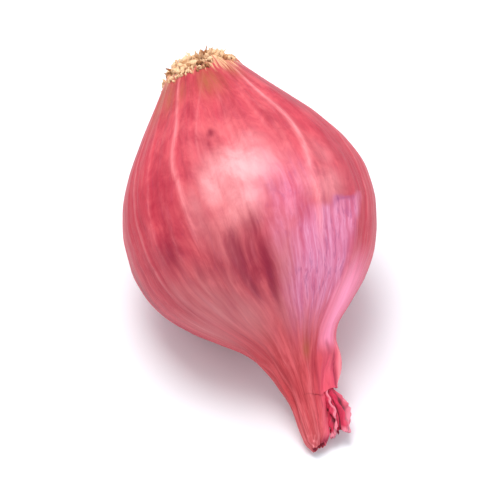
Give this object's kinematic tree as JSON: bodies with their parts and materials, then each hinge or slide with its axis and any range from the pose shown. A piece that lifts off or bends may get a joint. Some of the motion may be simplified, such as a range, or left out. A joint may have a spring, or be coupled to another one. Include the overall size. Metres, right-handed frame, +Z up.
{
  "type": "shallot",
  "caption": "Whole pink shallot lying on its belly: papery skin drawn out into a dried neck, a curled inner leaf at the neck's end, and a corky root plate with dried root stubs.",
  "frame": {"origin": "middle of the bounding box on the surface that the shallot lies on", "axes": "+Z up, +Y from the neck towards the root end, which is raised; -Y is the way the neck points"},
  "size_m": [0.0372, 0.0564, 0.0366],
  "materials": {
    "outer_skin": "papery satin, pink with fine darker lengthwise streaks and pale veins, coral red on the neck",
    "dried_leaf": "dry crimson leaf, matt, with a paler rim",
    "cork_roots": "matt straw-coloured cork and dried roots"
  },
  "bodies": {
    "root": {"bulb": "outer_skin", "inner_leaf": "dried_leaf", "root_plate": "cork_roots"}
  },
  "joints": []
}
